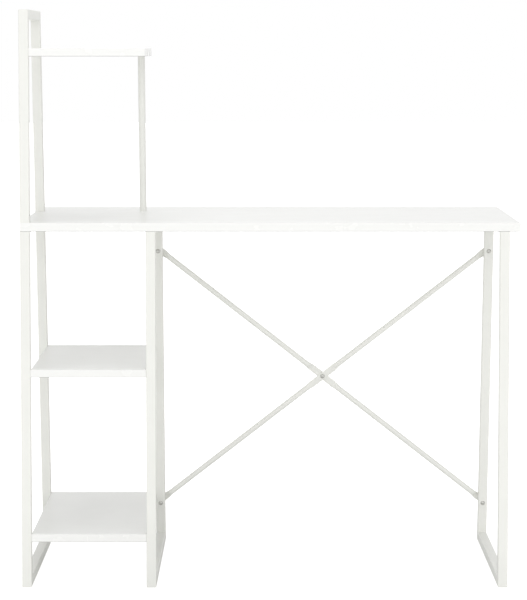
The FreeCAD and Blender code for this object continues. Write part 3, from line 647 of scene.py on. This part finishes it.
post_back = floor_rail[0].y + TUBE
bar_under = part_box("left_top_rail")[0].z
top_inside = head_rail[1].z - TUBE
corners = []
for side in ("left", "middle", "right"):
    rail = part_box(f"{side}_base_rail")
    corners += [((rail[0].x + rail[1].x) / 2, height) for height in (rail[1].z, bar_under)]
corners.append(((head_rail[0].x + head_rail[1].x) / 2, top_inside))
beads = bmesh.new()
for middle, height in corners:
    lay_bead(beads, middle, post_back, height)
    lay_bead(beads, middle, leg_front(height), height)
close_ends(beads, BEAD_SIDES)
make_piece("weld_beads", beads, coat, sharp=BEAD_SHARP)

# %% [markdown]
# The desk stands in a white studio: a pale floor under a white surround, and a wide soft light
# overhead. A white frame would be lost on white, so a photographer hangs black flags at both
# sides, and the tubes get dark edges. Here the surround itself shines most from the front, less
# from the back and above, and hardly from the sides, while the camera sees it plain white.
# The floor glows a little, and for the camera enough to look as white as the surround, so hardly
# a shadow is left on it. Under the desk it is painted grey, a painted shade that also sends up less
# light, so that the low tubes and the undersides stay in soft shade.

# %% A pale floor and soft studio light
FLOOR_HALF = 30
FLOOR_WHITE = (0.85, 0.85, 0.84)
FLOOR_ROUGHNESS = 0.9
FLOOR_GLOW = 0.23
FLOOR_SEEN = 0.58
# Painted shade: the floor is grey under the desk and fades to white between these two distances.
UNDER_DESK_SHADE_GREY = (0.50, 0.50, 0.49)
SHADE_PATCH_EDGE = 0.35
SHADE_PATCH_END = 0.8
FRONT_LIGHT = 1.9
BACK_LIGHT = 1.05
SIDE_LIGHT = 0.38
TOP_LIGHT = 0.55
SOFTBOX_PLACE = (0, -0.2, 3.4)
SOFTBOX_SIZE = 2.6
SOFTBOX_POWER = 27


def is_camera_ray(tree):
    """Give 1 where the camera looks straight at a thing, and 0 where light meets it."""
    return tree.nodes.new("ShaderNodeLightPath").outputs["Is Camera Ray"]


def pale_floor():
    """Lay a floor that is white to the camera, with a painted grey shade under the desk."""
    shape = bmesh.new()
    bmesh.ops.create_grid(shape, x_segments=1, y_segments=1, size=FLOOR_HALF)
    mesh = bpy.data.meshes.new("floor")
    shape.to_mesh(mesh)
    shape.free()
    material, tree, shader, place = start_finish("floor_white", FLOOR_WHITE, FLOOR_ROUGHNESS)
    shader.inputs["Specular IOR Level"].default_value = 0
    distance = tree.nodes.new("ShaderNodeVectorMath")
    distance.operation = "LENGTH"
    tree.links.new(place, distance.inputs[0])
    fade = tree.nodes.new("ShaderNodeMapRange")
    fade.inputs["From Min"].default_value = SHADE_PATCH_EDGE
    fade.inputs["From Max"].default_value = SHADE_PATCH_END
    tree.links.new(distance.outputs["Value"], fade.inputs["Value"])
    # Painted shade: grey near the middle of the desk, white further out.
    tint(tree, fade.outputs["Result"], UNDER_DESK_SHADE_GREY, FLOOR_WHITE, shader)
    shader.inputs["Emission Color"].default_value = (1, 1, 1, 1)
    glow = reckon(tree, "MULTIPLY_ADD", is_camera_ray(tree), FLOOR_SEEN, FLOOR_GLOW)
    tree.links.new(glow, shader.inputs["Emission Strength"])
    mesh.materials.append(material)
    floor = add_to_scene("floor", mesh)


def white_surround():
    """Surround the desk with light that is white to the camera and weighed by direction."""
    world = bpy.data.worlds.new("white_surround")
    world.use_nodes = True
    tree = world.node_tree
    seen = tree.nodes["Background"]
    seen.inputs["Color"].default_value = (1, 1, 1, 1)
    lit = tree.nodes.new("ShaderNodeBackground")
    lit.inputs["Color"].default_value = (1, 1, 1, 1)
    direction = tree.nodes.new("ShaderNodeTexCoord").outputs["Generated"]
    split = tree.nodes.new("ShaderNodeSeparateXYZ")
    tree.links.new(direction, split.inputs[0])
    light = 0
    lobes = (
        ("Y", -1, FRONT_LIGHT),
        ("Y", 1, BACK_LIGHT),
        ("X", -1, SIDE_LIGHT),
        ("X", 1, SIDE_LIGHT),
        ("Z", 1, TOP_LIGHT),
    )
    for axis, sign, strength in lobes:
        towards = reckon(tree, "MAXIMUM", reckon(tree, "MULTIPLY", split.outputs[axis], sign), 0)
        lobe = reckon(tree, "MULTIPLY", towards, towards)
        light = reckon(tree, "MULTIPLY_ADD", lobe, strength, light)
    tree.links.new(light, lit.inputs["Strength"])
    mix = tree.nodes.new("ShaderNodeMixShader")
    tree.links.new(is_camera_ray(tree), mix.inputs[0])
    tree.links.new(lit.outputs[0], mix.inputs[1])
    tree.links.new(seen.outputs[0], mix.inputs[2])
    tree.links.new(mix.outputs[0], tree.nodes["World Output"].inputs["Surface"])
    bpy.context.scene.world = world


def softbox(name, place, size, power):
    """Hang a square soft light at a place and aim it at the middle of the desk."""
    light = bpy.data.lights.new(name, "AREA")
    light.size = size
    light.energy = power
    lamp = add_to_scene(name, light)
    lamp.location = place
    aim = (cad_box[0] + cad_box[1]) / 2 - Vector(place)
    lamp.rotation_mode = "QUATERNION"
    lamp.rotation_quaternion = aim.to_track_quat("-Z", "Y")


pale_floor()
white_surround()
softbox("top_softbox", SOFTBOX_PLACE, SOFTBOX_SIZE, SOFTBOX_POWER)
print(f"a floor {2 * FLOOR_HALF} m wide, and a softbox of {SOFTBOX_POWER} W")

# %% [markdown]
# The camera stands five metres in front of the desk, at the height of the top shelf, with a long
# lens. It looks four degrees down, and a small shift of the lens keeps the desk in the frame.
# The view transform is the plain one, because a white desk on white turns grey under a film curve.

# %% The camera
IMAGE_HEIGHT = 600
CAMERA_PITCH = math.radians(4)
CAMERA_SIDE = -13.8 * MM
CAMERA_DISTANCE = 4945.2 * MM
CAMERA_HEIGHT = 1111.8 * MM
FOCAL_PIXELS = 2437.4
SENSOR = 36
LENS_SHIFT = -0.14


def front_camera():
    """Set up the camera and look through it."""
    data = bpy.data.cameras.new("front_camera")
    data.sensor_width = SENSOR
    data.lens = FOCAL_PIXELS * SENSOR / IMAGE_HEIGHT
    data.shift_y = LENS_SHIFT
    camera = add_to_scene("front_camera", data)
    camera.location = (CAMERA_SIDE, cad_box[0].y - CAMERA_DISTANCE, CAMERA_HEIGHT)
    camera.rotation_euler = (math.pi / 2 - CAMERA_PITCH, 0, 0)
    bpy.context.scene.camera = camera
    print(f"the lens is {data.lens:.0f} mm long, and {CAMERA_DISTANCE:.2f} m from the desk")


front_camera()
bpy.context.scene.view_settings.view_transform = "Standard"
